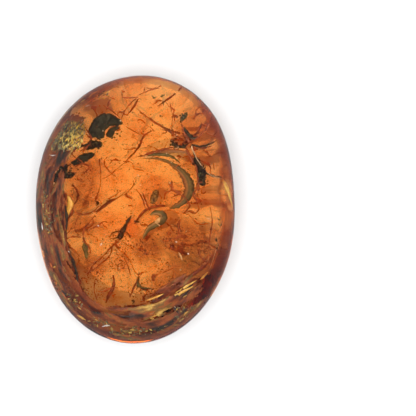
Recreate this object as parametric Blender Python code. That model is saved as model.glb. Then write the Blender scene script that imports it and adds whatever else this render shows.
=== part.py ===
# A polished amber pebble with plant pieces and an insect sealed in it, in metres, +Z up.
# The origin is at the middle of the flat base. The amber is parted at a level seam, so that
# each inclusion can lie in its own pocket. +X is the stone's right and +Y its upper end,
# as it is seen lying on its base from straight above.

import math

import bmesh
import bpy
from mathutils import Vector, noise

MM = 0.001

# The stone
THICKNESS = 15.5 * MM
GIRDLE = 7.2 * MM  # height of the widest outline above the base
SEAM = 8.0 * MM  # height of the parting of the two halves
GAP = 0.3 * MM  # between the halves, and between an inclusion and its pocket
MEAN_RADIUS = 16.03 * MM
WAVES = (  # (waves round the outline, size in mm, turn in degrees)
    (1, 0.205, 63),
    (2, 2.387, 176),
    (3, 0.152, 137),
    (4, 0.169, -54),
    (5, 0.071, -80),
)
FLAT_SHARE = 0.66  # the base's width as a share of the outline's
FLAT_SHIFT = (0.8 * MM, 2.0 * MM)  # the base lies off the outline's middle, up and to the right
DOME_PLAN = 2.35  # superellipse powers: 2 is an ellipse, higher is squarer
DOME_RISE = 2.15
BELLY_PLAN = 1.7
BELLY_RISE = 1.7
AROUND = 48
RINGS = 20
BEND = 1.54  # refractive index of amber

# Inclusions
PLATE_SIDES = 2  # curve steps between two outline points
STALK_STEPS = 2
POCKET_GROWTH = 0.42 * MM  # leaves the gap at the flats of a six-sided pocket
COARSE_BALL = 1.26  # a 20-sided ball this much larger clears the round one inside it

# Colours, from the look of each material
AMBER = (0.80, 0.26, 0.03)
BARK = (0.012, 0.014, 0.010)
SOIL = (0.022, 0.016, 0.011)
LEAF = (0.13, 0.10, 0.035)
HUSK = (0.16, 0.085, 0.035)
STALK = (0.11, 0.018, 0.006)
INSECT = (0.018, 0.010, 0.007)


def waves_sum(angle):
    return sum(size * math.cos(k * angle - math.radians(turn)) for k, size, turn in WAVES)


def radius_at(angle):
    return MEAN_RADIUS + waves_sum(angle) * MM


def outline_middle():
    """The middle of the outline's box, which becomes x = y = 0."""
    turns = [math.tau * i / AROUND for i in range(AROUND)]
    across = [radius_at(t) * math.cos(t) for t in turns]
    along = [radius_at(t) * math.sin(t) for t in turns]
    return (min(across) + max(across)) / 2, (min(along) + max(along)) / 2


MIDDLE_X, MIDDLE_Y = outline_middle()


def dome_height(x, y):
    """Height of the dome's surface above a point inside the outline."""
    x, y = x + MIDDLE_X, y + MIDDLE_Y
    share = min(math.hypot(x, y) / radius_at(math.atan2(y, x)), 0.999)
    return GIRDLE + (THICKNESS - GIRDLE) * (1 - share**DOME_PLAN) ** (1 / DOME_RISE)


def under_dome(x, y, z):
    """Where a thing at height z lies that shows at x, y through the dome from above."""
    step = 0.05 * MM
    top = dome_height(x, y)
    slope_x = (dome_height(x + step, y) - dome_height(x - step, y)) / (2 * step)
    slope_y = (dome_height(x, y + step) - dome_height(x, y - step)) / (2 * step)
    normal = Vector((-slope_x, -slope_y, 1)).normalized()
    down = Vector((0, 0, -1))
    facing = -down.dot(normal)
    inside = math.sqrt(1 - (1 - facing**2) / BEND**2)
    ray = down / BEND + normal * (facing / BEND - inside)
    reach = (z - top) / ray.z
    return Vector((x + ray.x * reach, y + ray.y * reach, z))


def clear_scene():
    for obj in list(bpy.data.objects):
        bpy.data.objects.remove(obj, do_unlink=True)


def new_collection(name):
    collection = bpy.data.collections.new(name)
    bpy.context.scene.collection.children.link(collection)
    return collection


def new_material(name, colour, roughness, see_through=0.0):
    material = bpy.data.materials.new(name)
    material.use_nodes = True
    shader = material.node_tree.nodes["Principled BSDF"]
    shader.inputs["Base Color"].default_value = (*colour, 1)
    shader.inputs["Roughness"].default_value = roughness
    shader.inputs["Metallic"].default_value = 0
    shader.inputs["IOR"].default_value = BEND
    shader.inputs["Transmission Weight"].default_value = see_through
    return material


def finish_piece(obj, material=None):
    """A part of the stone takes its material. Without one, the object is a cutter."""
    if material is None:
        cutters.objects.link(obj)
        obj.hide_render = True
        obj.display_type = "WIRE"
    else:
        parts.objects.link(obj)
        obj.data.materials.clear()
        obj.data.materials.append(material)
    return obj


def mesh_object(name, form):
    mesh = bpy.data.meshes.new(name)
    bmesh.ops.recalc_face_normals(form, faces=form.faces)
    form.to_mesh(mesh)
    form.free()
    return bpy.data.objects.new(name, mesh)


def curve_to_mesh(guide, name):
    """A curve's evaluated mesh with its caps welded on, in place of the curve."""
    bpy.context.scene.collection.objects.link(guide)
    bpy.context.view_layer.update()
    graph = bpy.context.evaluated_depsgraph_get()
    mesh = bpy.data.meshes.new_from_object(guide.evaluated_get(graph))
    form = bmesh.new()
    form.from_mesh(mesh)
    bmesh.ops.remove_doubles(form, verts=form.verts, dist=0.002 * MM)
    obj = mesh_object(name, form)
    obj.matrix_world = guide.matrix_world
    bpy.data.objects.remove(guide, do_unlink=True)
    return obj


def add_points(curve, points, closed):
    spline = curve.splines.new("BEZIER")
    spline.bezier_points.add(len(points) - 1)
    spline.use_cyclic_u = closed
    for knot, (place, size) in zip(spline.bezier_points, points):
        knot.co = place
        knot.radius = size
        knot.handle_left_type = "AUTO"
        knot.handle_right_type = "AUTO"


def plate(name, outline, height, thickness, tilt, arch, grow):
    """A flat piece from its outline as seen from above, tilted and arched about its middle."""
    placed = [under_dome(x * MM, y * MM, height) for x, y in outline]
    middle = sum(placed, Vector()) / len(placed)
    curve = bpy.data.curves.new(name, "CURVE")
    curve.dimensions = "2D"
    curve.fill_mode = "BOTH"
    curve.resolution_u = PLATE_SIDES
    curve.extrude = thickness / 2
    curve.bevel_depth = grow
    curve.bevel_resolution = 0
    add_points(curve, [((p.x - middle.x, p.y - middle.y, 0), 1) for p in placed], True)
    guide = bpy.data.objects.new(name + "_guide", curve)
    guide.location = middle
    guide.rotation_euler = [math.radians(a) for a in tilt]
    obj = curve_to_mesh(guide, name)
    for vertex in obj.data.vertices:
        vertex.co.z += arch * (vertex.co.x**2 + vertex.co.y**2) / MM**2
    return obj


def tube(name, route, grow):
    """A round stalk through points seen from above: (x, y, height, radius) in mm."""
    placed = [under_dome(x * MM, y * MM, z * MM) for x, y, z, _ in route]
    radii = [r * MM + grow for *_, r in route]
    if grow:
        placed[0] += (placed[0] - placed[1]).normalized() * grow
        placed[-1] += (placed[-1] - placed[-2]).normalized() * grow
    curve = bpy.data.curves.new(name, "CURVE")
    curve.dimensions = "3D"
    curve.resolution_u = STALK_STEPS
    curve.bevel_depth = MM
    curve.bevel_resolution = 1
    curve.use_fill_caps = True
    add_points(curve, [(p, r / MM) for p, r in zip(placed, radii)], False)
    guide = bpy.data.objects.new(name + "_guide", curve)
    return curve_to_mesh(guide, name)


def lump(name, place, size, turn, grow, rough):
    """A rounded lump: half sizes in mm, turned about Z, its surface unevened by a fixed noise."""
    form = bmesh.new()
    if grow:
        bmesh.ops.create_icosphere(form, subdivisions=1, radius=COARSE_BALL)
    else:
        bmesh.ops.create_icosphere(form, subdivisions=2, radius=1)
    middle = under_dome(place[0] * MM, place[1] * MM, place[2] * MM)
    cosine, sine = math.cos(math.radians(turn)), math.sin(math.radians(turn))
    for vertex in form.verts:
        uneven = 1 + (0 if grow else rough * noise.noise(vertex.co * 1.7 + middle / MM))
        x = vertex.co.x * (size[0] * MM * uneven + grow)
        y = vertex.co.y * (size[1] * MM * uneven + grow)
        z = vertex.co.z * (size[2] * MM * uneven + grow)
        vertex.co = middle + Vector((x * cosine - y * sine, x * sine + y * cosine, z))
    return mesh_object(name, form)


def join_all(base, others):
    """Unites the other shapes with the base, and removes them."""
    for other in others:
        cutters.objects.link(other)
        union = base.modifiers.new("join", "BOOLEAN")
        union.operation = "UNION"
        union.solver = "EXACT"
        union.object = other
    bpy.context.view_layer.update()
    graph = bpy.context.evaluated_depsgraph_get()
    mesh = bpy.data.meshes.new_from_object(base.evaluated_get(graph))
    base.modifiers.clear()
    base.data = mesh
    for other in others:
        bpy.data.objects.remove(other, do_unlink=True)


def add_plate(name, material, outline, height, thickness, tilt=(0, 0, 0), arch=0.0):
    height, thickness = height * MM, thickness * MM
    arch = arch * MM
    piece = plate(name, outline, height, thickness, tilt, arch, 0)
    finish_piece(piece, material)
    pocket = plate(name + "_pocket", outline, height, thickness, tilt, arch, POCKET_GROWTH)
    finish_piece(pocket)


def add_stalk(name, material, route):
    finish_piece(tube(name, route, 0), material)
    finish_piece(tube(name + "_pocket", route, POCKET_GROWTH))


def add_clump(name, material, lumps, rough=0.3):
    """Lumps grown together: each is (place, half sizes, turn)."""
    made = [lump(name, *each, 0, rough) for each in lumps]
    finish_piece(made[0], material)
    join_all(made[0], made[1:])
    for i, each in enumerate(lumps):
        finish_piece(lump(f"{name}_pocket_{i}", *each, POCKET_GROWTH, rough))


def reshape_to_pebble(vertex):
    """Moves a unit sphere's vertex to the stone's surface."""
    turn = math.atan2(vertex.co.y, vertex.co.x)
    rise = math.asin(max(-1, min(1, vertex.co.z)))
    flank, lift = abs(math.cos(rise)), abs(math.sin(rise))
    shift = 0
    if rise >= 0:
        share = flank ** (2 / DOME_PLAN)
        height = GIRDLE + (THICKNESS - GIRDLE) * lift ** (2 / DOME_RISE)
    else:
        whole = GIRDLE / (1 - FLAT_SHARE**BELLY_PLAN) ** (1 / BELLY_RISE)
        share = flank ** (2 / BELLY_PLAN)
        height = GIRDLE - whole * lift ** (2 / BELLY_RISE)
        shift = ((GIRDLE - height) / GIRDLE) ** BELLY_RISE
    reach = radius_at(turn) * share
    x = reach * math.cos(turn) - MIDDLE_X + FLAT_SHIFT[0] * shift
    y = reach * math.sin(turn) - MIDDLE_Y + FLAT_SHIFT[1] * shift
    vertex.co = (x, y, height)


def cut_level(form, height, keep_above):
    """Cuts the shape level at a height and closes the cut with one flat face."""
    geometry = form.verts[:] + form.edges[:] + form.faces[:]
    cut = bmesh.ops.bisect_plane(
        form,
        geom=geometry,
        plane_co=(0, 0, height),
        plane_no=(0, 0, 1),
        clear_inner=keep_above,
        clear_outer=not keep_above,
    )
    edges = [e for e in cut["geom_cut"] if isinstance(e, bmesh.types.BMEdge)]
    bmesh.ops.contextual_create(form, geom=edges)


def add_half(name, material, low, high):
    """The stone between two heights, with the pockets cut out of it."""
    form = bmesh.new()
    bmesh.ops.create_uvsphere(form, u_segments=AROUND, v_segments=RINGS, radius=1)
    for vertex in form.verts:
        reshape_to_pebble(vertex)
    if low is not None:
        cut_level(form, low, True)
    if high is not None:
        cut_level(form, high, False)
    half = finish_piece(mesh_object(name, form), material)
    half.data.shade_smooth()
    half.data.set_sharp_from_angle(angle=math.radians(35))
    pockets = half.modifiers.new("pockets", "BOOLEAN")
    pockets.operation = "DIFFERENCE"
    pockets.solver = "EXACT"
    pockets.operand_type = "COLLECTION"
    pockets.collection = cutters


def add_bark():
    bark = new_material("bark", BARK, 0.7)
    add_plate(
        "bark_flake",
        bark,
        (
            (-6.2, 10.1),
            (-6.2, 11.3),
            (-5.6, 12.4),
            (-4.5, 13.1),
            (-3.4, 13.1),
            (-2.4, 12.5),
            (-1.7, 11.8),
            (-3.4, 11.5),
            (-4.2, 10.8),
            (-4.3, 9.8),
            (-5.4, 9.9),
        ),
        height=8.6,
        thickness=0.9,
        tilt=(0, 6, 0),
    )
    add_plate(
        "bark_hook",
        bark,
        ((-3.9, 10.0), (-3.7, 10.9), (-3.1, 11.3), (-2.0, 11.4), (-2.8, 10.8), (-3.2, 10.0)),
        height=7.4,
        thickness=0.6,
    )
    add_plate(
        "bark_splinter",
        bark,
        (
            (-8.9, 6.3),
            (-8.2, 6.8),
            (-7.7, 7.4),
            (-6.7, 7.7),
            (-5.5, 7.7),
            (-6.1, 7.1),
            (-7.4, 6.3),
        ),
        height=8.1,
        thickness=0.7,
        tilt=(8, -8, 0),
    )


def add_soil():
    soil = new_material("soil", SOIL, 0.9)
    add_clump(
        "soil_clump",
        soil,
        (
            ((-10.3, 4.7, 8.0), (0.85, 0.7, 0.6), 30),
            ((-9.8, 5.7, 8.2), (0.55, 0.7, 0.5), 0),
            ((-9.2, 4.7, 7.8), (0.7, 0.4, 0.45), 15),
            ((-10.9, 4.2, 7.8), (0.5, 0.45, 0.45), 40),
        ),
    )
    add_clump(
        "grain_cluster",
        soil,
        (
            ((-5.2, 8.95, 8.3), (0.6, 0.5, 0.5), 0),
            ((-5.9, 9.1, 8.1), (0.45, 0.36, 0.4), 0),
            ((-5.8, 8.65, 8.0), (0.6, 0.33, 0.35), 20),
            ((-6.4, 8.6, 7.9), (0.4, 0.3, 0.3), 0),
        ),
    )
    add_clump(
        "moss_tuft",
        soil,
        (
            ((8.5, 6.4, 8.9), (0.42, 0.9, 0.4), 25),
            ((9.1, 5.3, 8.8), (0.5, 0.95, 0.45), 20),
            ((9.2, 4.1, 8.6), (0.42, 0.85, 0.4), -5),
        ),
    )


def add_leaves():
    leaf = new_material("leaf", LEAF, 0.6)
    add_plate(
        "leaf_curl",
        leaf,
        (
            (1.5, 7.3),
            (3.4, 7.7),
            (5.4, 7.3),
            (6.9, 6.0),
            (7.8, 4.4),
            (8.2, 2.8),
            (8.0, 1.5),
            (7.0, 0.4),
            (5.6, -0.2),
            (4.6, 0.1),
            (5.7, 1.0),
            (6.6, 2.0),
            (6.8, 3.1),
            (6.4, 4.4),
            (5.6, 5.6),
            (4.5, 6.4),
            (3.1, 6.8),
        ),
        height=7.9,
        thickness=0.6,
        arch=0.012,
    )
    add_plate(
        "leaf_tip",
        leaf,
        (
            (1.9, -0.9),
            (2.8, -0.4),
            (3.8, -0.4),
            (4.2, -1.0),
            (3.4, -1.8),
            (2.4, -2.3),
            (1.8, -3.1),
            (1.2, -4.0),
            (0.9, -3.7),
            (1.0, -2.7),
        ),
        height=7.5,
        thickness=0.6,
        tilt=(-5, 5, 0),
    )
    add_plate(
        "leaf_sliver",
        leaf,
        ((-7.1, -4.4), (-6.7, -4.6), (-6.5, -5.5), (-6.6, -6.8), (-7.0, -6.0)),
        height=8.0,
        thickness=0.35,
        tilt=(0, 25, 0),
    )
    add_plate(
        "needle_leaf",
        leaf,
        ((6.2, 12.2), (6.5, 12.9), (7.2, 13.4), (7.2, 12.9), (6.8, 12.3)),
        height=8.2,
        thickness=0.4,
        tilt=(10, 0, 0),
    )
    husk = new_material("husk", HUSK, 0.75)
    add_clump("seed_husk", husk, (((2.7, 1.75, 8.0), (0.5, 1.05, 0.45), -18),), rough=0.2)


def add_stalks():
    stalk = new_material("stalk", STALK, 0.5)
    add_stalk(
        "stalk_left",
        stalk,
        (
            (-4.9, 7.0, 8.8, 0.14),
            (-4.7, 4.9, 8.4, 0.16),
            (-4.8, 3.2, 8.0, 0.14),
            (-5.5, 1.3, 7.4, 0.2),
        ),
    )
    add_stalk(
        "stalk_branch",
        stalk,
        (
            (-0.1, 3.6, 9.3, 0.2),
            (-0.8, 2.6, 8.9, 0.14),
            (-2.2, 1.7, 8.5, 0.12),
            (-3.4, 1.2, 8.2, 0.3),
            (-4.7, 0.2, 7.9, 0.3),
            (-6.1, -0.6, 7.4, 0.12),
            (-8.4, -0.6, 6.9, 0.1),
        ),
    )
    add_stalk(
        "stalk_long",
        stalk,
        (
            (2.6, 10.9, 9.4, 0.12),
            (1.3, 10.2, 9.1, 0.26),
            (0.6, 8.7, 8.7, 0.26),
            (-0.6, 7.3, 8.3, 0.2),
            (-2.2, 5.8, 7.8, 0.14),
            (-3.7, 4.9, 7.2, 0.1),
        ),
    )
    add_stalk(
        "leaf_stem",
        stalk,
        (
            (4.2, 0.5, 8.8, 0.24),
            (3.0, 0.5, 8.6, 0.26),
            (1.3, -0.2, 8.2, 0.24),
            (-0.1, -2.0, 7.7, 0.18),
        ),
    )
    add_stalk(
        "blade_left",
        stalk,
        ((0.5, 15.3, 8.7, 0.12), (-0.1, 14.2, 8.4, 0.24), (-1.1, 13.0, 7.6, 0.14)),
    )
    add_stalk(
        "blade_right",
        stalk,
        ((5.6, 16.0, 8.6, 0.18), (4.5, 15.2, 8.2, 0.24), (3.0, 14.2, 7.6, 0.12)),
    )
    add_stalk(
        "blade_cross",
        stalk,
        (
            (0.6, 13.4, 7.4, 0.12),
            (2.3, 12.4, 7.7, 0.18),
            (3.9, 11.3, 8.0, 0.16),
            (6.3, 10.4, 8.5, 0.22),
        ),
    )
    add_stalk(
        "blade_low",
        stalk,
        (
            (-3.0, -8.9, 8.8, 0.14),
            (-2.9, -10.4, 8.3, 0.26),
            (-3.5, -11.5, 7.8, 0.3),
            (-4.1, -12.9, 7.1, 0.16),
        ),
    )
    add_stalk(
        "root_thread",
        stalk,
        (
            (-3.0, -4.6, 8.4, 0.16),
            (-3.2, -5.6, 8.2, 0.2),
            (-3.8, -6.8, 7.9, 0.12),
            (-5.5, -8.4, 7.5, 0.1),
        ),
    )
    add_stalk(
        "bract",
        stalk,
        (
            (0.6, -9.0, 8.2, 0.12),
            (0.4, -10.1, 8.1, 0.26),
            (1.2, -10.9, 8.0, 0.28),
            (2.2, -10.8, 7.9, 0.12),
        ),
    )
    add_stalk(
        "strand_left",
        stalk,
        (
            (-9.7, 0.7, 8.7, 0.2),
            (-9.6, -2.2, 8.4, 0.22),
            (-9.5, -5.2, 8.1, 0.24),
            (-8.6, -7.6, 7.8, 0.26),
            (-7.4, -10.3, 7.4, 0.16),
        ),
    )
    add_stalk(
        "strand_bent",
        stalk,
        (
            (-8.6, 3.4, 8.5, 0.14),
            (-8.0, 2.7, 8.3, 0.18),
            (-7.8, 1.8, 8.1, 0.18),
            (-8.3, 0.8, 7.8, 0.12),
        ),
    )
    add_stalk(
        "branch_right",
        stalk,
        (
            (9.2, 12.0, 8.8, 0.14),
            (8.6, 10.7, 8.6, 0.2),
            (7.6, 9.7, 8.3, 0.28),
            (6.2, 8.8, 7.8, 0.14),
        ),
    )
    add_stalk(
        "branch_arm",
        stalk,
        ((8.6, 8.7, 8.4, 0.18), (9.5, 8.4, 8.2, 0.2), (10.5, 8.8, 7.9, 0.12)),
    )
    add_stalk(
        "twig_short",
        stalk,
        ((5.0, -13.2, 8.2, 0.2), (5.5, -13.7, 8.0, 0.22), (6.0, -14.2, 7.8, 0.14)),
    )
    add_stalk(
        "twig_long",
        stalk,
        ((2.8, -16.2, 7.7, 0.14), (4.0, -15.9, 8.0, 0.2), (5.2, -15.5, 8.3, 0.16)),
    )


def add_insect():
    """A small broken fly or midge: abdomen, thorax, head, two folded wings and legs in one piece."""
    shell = new_material("insect", INSECT, 0.4)
    lumps = (
        ((-1.95, -3.55, 8.0), (0.38, 0.62, 0.36), -18),
        ((-1.6, -2.75, 8.15), (0.36, 0.44, 0.36), -25),
        ((-1.36, -2.22, 8.2), (0.26, 0.32, 0.26), -25),
        ((-0.95, -1.5, 8.3), (0.18, 0.85, 0.12), -32),
    )
    legs = (
        ((-1.9, -2.9, 8.1, 0.1), (-2.6, -3.0, 7.9, 0.09), (-3.3, -3.3, 7.6, 0.08)),
        ((-2.0, -3.6, 8.0, 0.1), (-2.6, -3.9, 7.8, 0.09), (-3.1, -4.0, 7.5, 0.08)),
        ((-1.5, -2.9, 8.1, 0.1), (-1.0, -3.2, 7.8, 0.09), (-0.6, -3.9, 7.5, 0.08)),
    )
    body = [lump("insect", *each, 0, 0.15) for each in lumps]
    finish_piece(body[0], shell)
    join_all(body[0], body[1:] + [tube("leg", route, 0) for route in legs])
    for i, each in enumerate(lumps):
        finish_piece(lump(f"insect_pocket_{i}", *each, POCKET_GROWTH, 0.15))
    for i, route in enumerate(legs):
        finish_piece(tube(f"insect_leg_pocket_{i}", route, POCKET_GROWTH))


clear_scene()
parts = new_collection("amber_with_inclusions")
cutters = new_collection("cutters")
add_bark()
add_soil()
add_leaves()
add_stalks()
add_insect()
amber = new_material("amber", AMBER, 0.05, see_through=1.0)
add_half("amber_base", amber, low=0.0, high=SEAM - GAP / 2)
add_half("amber_top", amber, low=SEAM + GAP / 2, high=None)
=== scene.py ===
import math

import bmesh
import bpy
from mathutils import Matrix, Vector, noise


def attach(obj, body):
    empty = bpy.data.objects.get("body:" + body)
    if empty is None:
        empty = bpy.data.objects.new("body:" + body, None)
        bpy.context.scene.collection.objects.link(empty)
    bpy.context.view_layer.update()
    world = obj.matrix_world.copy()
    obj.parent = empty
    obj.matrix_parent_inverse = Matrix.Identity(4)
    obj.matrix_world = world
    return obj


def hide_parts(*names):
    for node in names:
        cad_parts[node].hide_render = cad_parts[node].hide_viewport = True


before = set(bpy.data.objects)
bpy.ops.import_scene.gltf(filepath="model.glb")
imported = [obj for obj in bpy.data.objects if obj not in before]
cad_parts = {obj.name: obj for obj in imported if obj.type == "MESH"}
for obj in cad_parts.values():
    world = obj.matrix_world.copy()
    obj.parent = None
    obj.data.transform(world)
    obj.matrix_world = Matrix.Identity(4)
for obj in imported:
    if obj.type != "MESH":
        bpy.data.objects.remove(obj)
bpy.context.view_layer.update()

print("frame loaded:", len(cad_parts), "solids")

# places are in millimetres until a mesh is made; +Z is up and +Y the stone's upper end
mm = 0.001

# the photo's own scale, for places that are read from it as pixels of its 416 frame
photo = {"width": 416, "pxPerMm": 7.245, "middle": (135.4, 209.6)}

stone = {
    "thickness": 15.5,
    "girdle": 7.2,  # height of the widest outline
    "meanRadius": 16.03,
    "waves": (  # of the outline: number round it, size in mm, and phase in degrees
        (1, 0.205, 63), (2, 2.387, 176), (3, 0.152, 137), (4, 0.169, -54), (5, 0.071, -80),
    ),
    "flatShare": 0.66,  # width of the flat base against the outline's
    "flatShift": (0.8, 2.0),
    "flatRings": (0.25, 0.5, 0.75, 0.92, 0.985),  # shares of that width
    "domePlan": 2.35,  # these four are the fullness of the curves; an ellipse has 2
    "domeRise": 2.15,
    "bellyPlan": 1.7,
    "bellyRise": 1.7,
    "around": 224,
    "domeRings": 44,
    "bellyRings": 30,
    "wobble": 0.03,  # unevenness left by the polishing, in mm at wobbleReach from the base's middle
    "wobbleReach": 15,
    "wobblePerMm": (0.23, 0.8),
    "fineWobble": 0.4,
    "sharpFrom": 30,  # degrees between two faces that make a crisp edge
    "index": 1.54,  # how strongly amber bends light
}


def limited(value):
    return max(0, min(1, value))


def outlineRadius(turn):
    return stone["meanRadius"] + sum(
        size * math.cos(k * turn - math.radians(late)) for k, size, late in stone["waves"]
    )


def outlineMiddle():
    count = 48
    turns = [math.tau * i / count for i in range(count)]
    across = [outlineRadius(t) * math.cos(t) for t in turns]
    along = [outlineRadius(t) * math.sin(t) for t in turns]
    return (min(across) + max(across)) / 2, (min(along) + max(along)) / 2


middle = outlineMiddle()


def outlineShare(x, y):  # 0 in the middle, 1 on the outline
    x, y = x + middle[0], y + middle[1]
    return math.hypot(x, y) / outlineRadius(math.atan2(y, x))


def domeHeight(x, y):
    share = min(outlineShare(x, y), 0.999)  # a place past the outline counts as on it
    rise = (1 - share ** stone["domePlan"]) ** (1 / stone["domeRise"])
    return stone["girdle"] + (stone["thickness"] - stone["girdle"]) * rise


def domeNormal(x, y):
    step = 0.05
    slopeX = (domeHeight(x + step, y) - domeHeight(x - step, y)) / (2 * step)
    slopeY = (domeHeight(x, y + step) - domeHeight(x, y - step)) / (2 * step)
    return Vector((-slopeX, -slopeY, 1)).normalized()


def underDome(x, y, z):  # where a thing at height z lies that shows at x, y from above
    top = domeHeight(x, y)
    normal = domeNormal(x, y)
    bend = stone["index"]
    inside = math.sqrt(1 - (1 - normal.z**2) / bend**2)
    ray = Vector((0, 0, -1)) / bend + normal * (normal.z / bend - inside)
    reach = (z - top) / ray.z
    return Vector((x + ray.x * reach, y + ray.y * reach, z))


def fromPhoto(px, py):  # the place in millimetres of a pixel
    across, up = px - photo["middle"][0], photo["middle"][1] - py
    return across / photo["pxPerMm"], up / photo["pxPerMm"]


def seenAt(px, py, z, cover=0.55):  # shows at this pixel, at height z but by cover under the dome
    x, y = fromPhoto(px, py)
    return underDome(x, y, min(z, domeHeight(x, y) - cover))


# nodes and materials

def feed(tree, socket, value):  # value is a constant or the output of another node
    if isinstance(value, bpy.types.NodeSocket):
        tree.links.new(value, socket)
    elif socket.type == "RGBA":
        socket.default_value = (*value, 1)
    else:
        socket.default_value = value


def addNode(tree, kind, settings, inputs):
    node = tree.nodes.new(kind)
    for key, value in settings.items():
        setattr(node, key, value)
    for key, value in inputs.items():
        feed(tree, node.inputs[key], value)
    return node


def newMaterial(name, sockets):
    material = bpy.data.materials.new(name)
    material.use_nodes = True
    tree = material.node_tree
    shader = tree.nodes["Principled BSDF"]
    for key, value in sockets.items():
        shader.inputs[key].default_value = value
    return material, tree, shader


def objectCoords(tree):
    return addNode(tree, "ShaderNodeTexCoord", {}, {}).outputs["Object"]


def attributeOf(tree, name, output="Fac"):
    return addNode(tree, "ShaderNodeAttribute", {"attribute_name": name}, {}).outputs[output]


def rampOf(tree, source, stops, smooth="LINEAR"):  # stops are (place, colour)
    ramp = addNode(tree, "ShaderNodeValToRGB", {}, {"Fac": source})
    ramp.color_ramp.interpolation = smooth
    elements = ramp.color_ramp.elements
    while len(elements) < len(stops):
        elements.new(0.5)
    for element, (place, colour) in zip(elements, stops):
        element.position = place
        element.color = (*colour, 1)
    return ramp.outputs["Color"]


def noiseOf(tree, coords, perMm, detail=4, roughness=0.6, distortion=0.0, output="Fac"):
    inputs = {"Scale": perMm / mm, "Detail": detail, "Roughness": roughness, "Distortion": distortion}
    return addNode(tree, "ShaderNodeTexNoise", {}, {**inputs, "Vector": coords}).outputs[output]


def mapRange(tree, source, low, high, toLow=0.0, toHigh=1.0, smooth="SMOOTHSTEP"):
    inputs = {"Value": source, "From Min": low, "From Max": high, "To Min": toLow, "To Max": toHigh}
    return addNode(tree, "ShaderNodeMapRange", {"interpolation_type": smooth}, inputs).outputs["Result"]


def mathOf(tree, operation, first, second):
    return addNode(tree, "ShaderNodeMath", {"operation": operation}, {0: first, 1: second}).outputs[0]


def vectorOf(tree, operation, *values):
    inputs = dict(enumerate(values))
    return addNode(tree, "ShaderNodeVectorMath", {"operation": operation}, inputs).outputs[0]


def distanceTo(tree, coords, spot):
    inputs = {0: coords, 1: tuple(spot)}
    return addNode(tree, "ShaderNodeVectorMath", {"operation": "DISTANCE"}, inputs).outputs["Value"]


def mixOf(tree, factor, first, second, blend="MIX"):
    settings = {"data_type": "RGBA", "blend_type": blend}
    return addNode(tree, "ShaderNodeMix", settings, {0: factor, 6: first, 7: second}).outputs[2]


def addBump(tree, shader, height, strength, depthMm):
    inputs = {"Strength": strength, "Distance": depthMm * mm, "Height": height}
    bump = addNode(tree, "ShaderNodeBump", {}, inputs)
    feed(tree, shader.inputs["Normal"], bump.outputs["Normal"])


# objects and meshes

def newObject(name, data):
    made = bpy.data.objects.new(name, data)
    bpy.context.scene.collection.objects.link(made)
    return made


def newPiece(name, mesh, material, nodes=()):
    piece = newObject(name, mesh)
    mesh.materials.clear()
    mesh.materials.append(material)
    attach(piece, "root")
    if nodes:
        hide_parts(*nodes)


def meshFrom(form, name, smooth=True):
    mesh = bpy.data.meshes.new(name)
    form.to_mesh(mesh)
    form.free()
    if smooth:
        mesh.shade_smooth()
    return mesh


def modifiedMesh(holder):  # what the holder's modifiers make of its mesh
    bpy.context.view_layer.update()
    graph = bpy.context.evaluated_depsgraph_get()
    mesh = bpy.data.meshes.new_from_object(holder.evaluated_get(graph))
    bpy.data.objects.remove(holder, do_unlink=True)
    return mesh


# the clear stone

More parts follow.
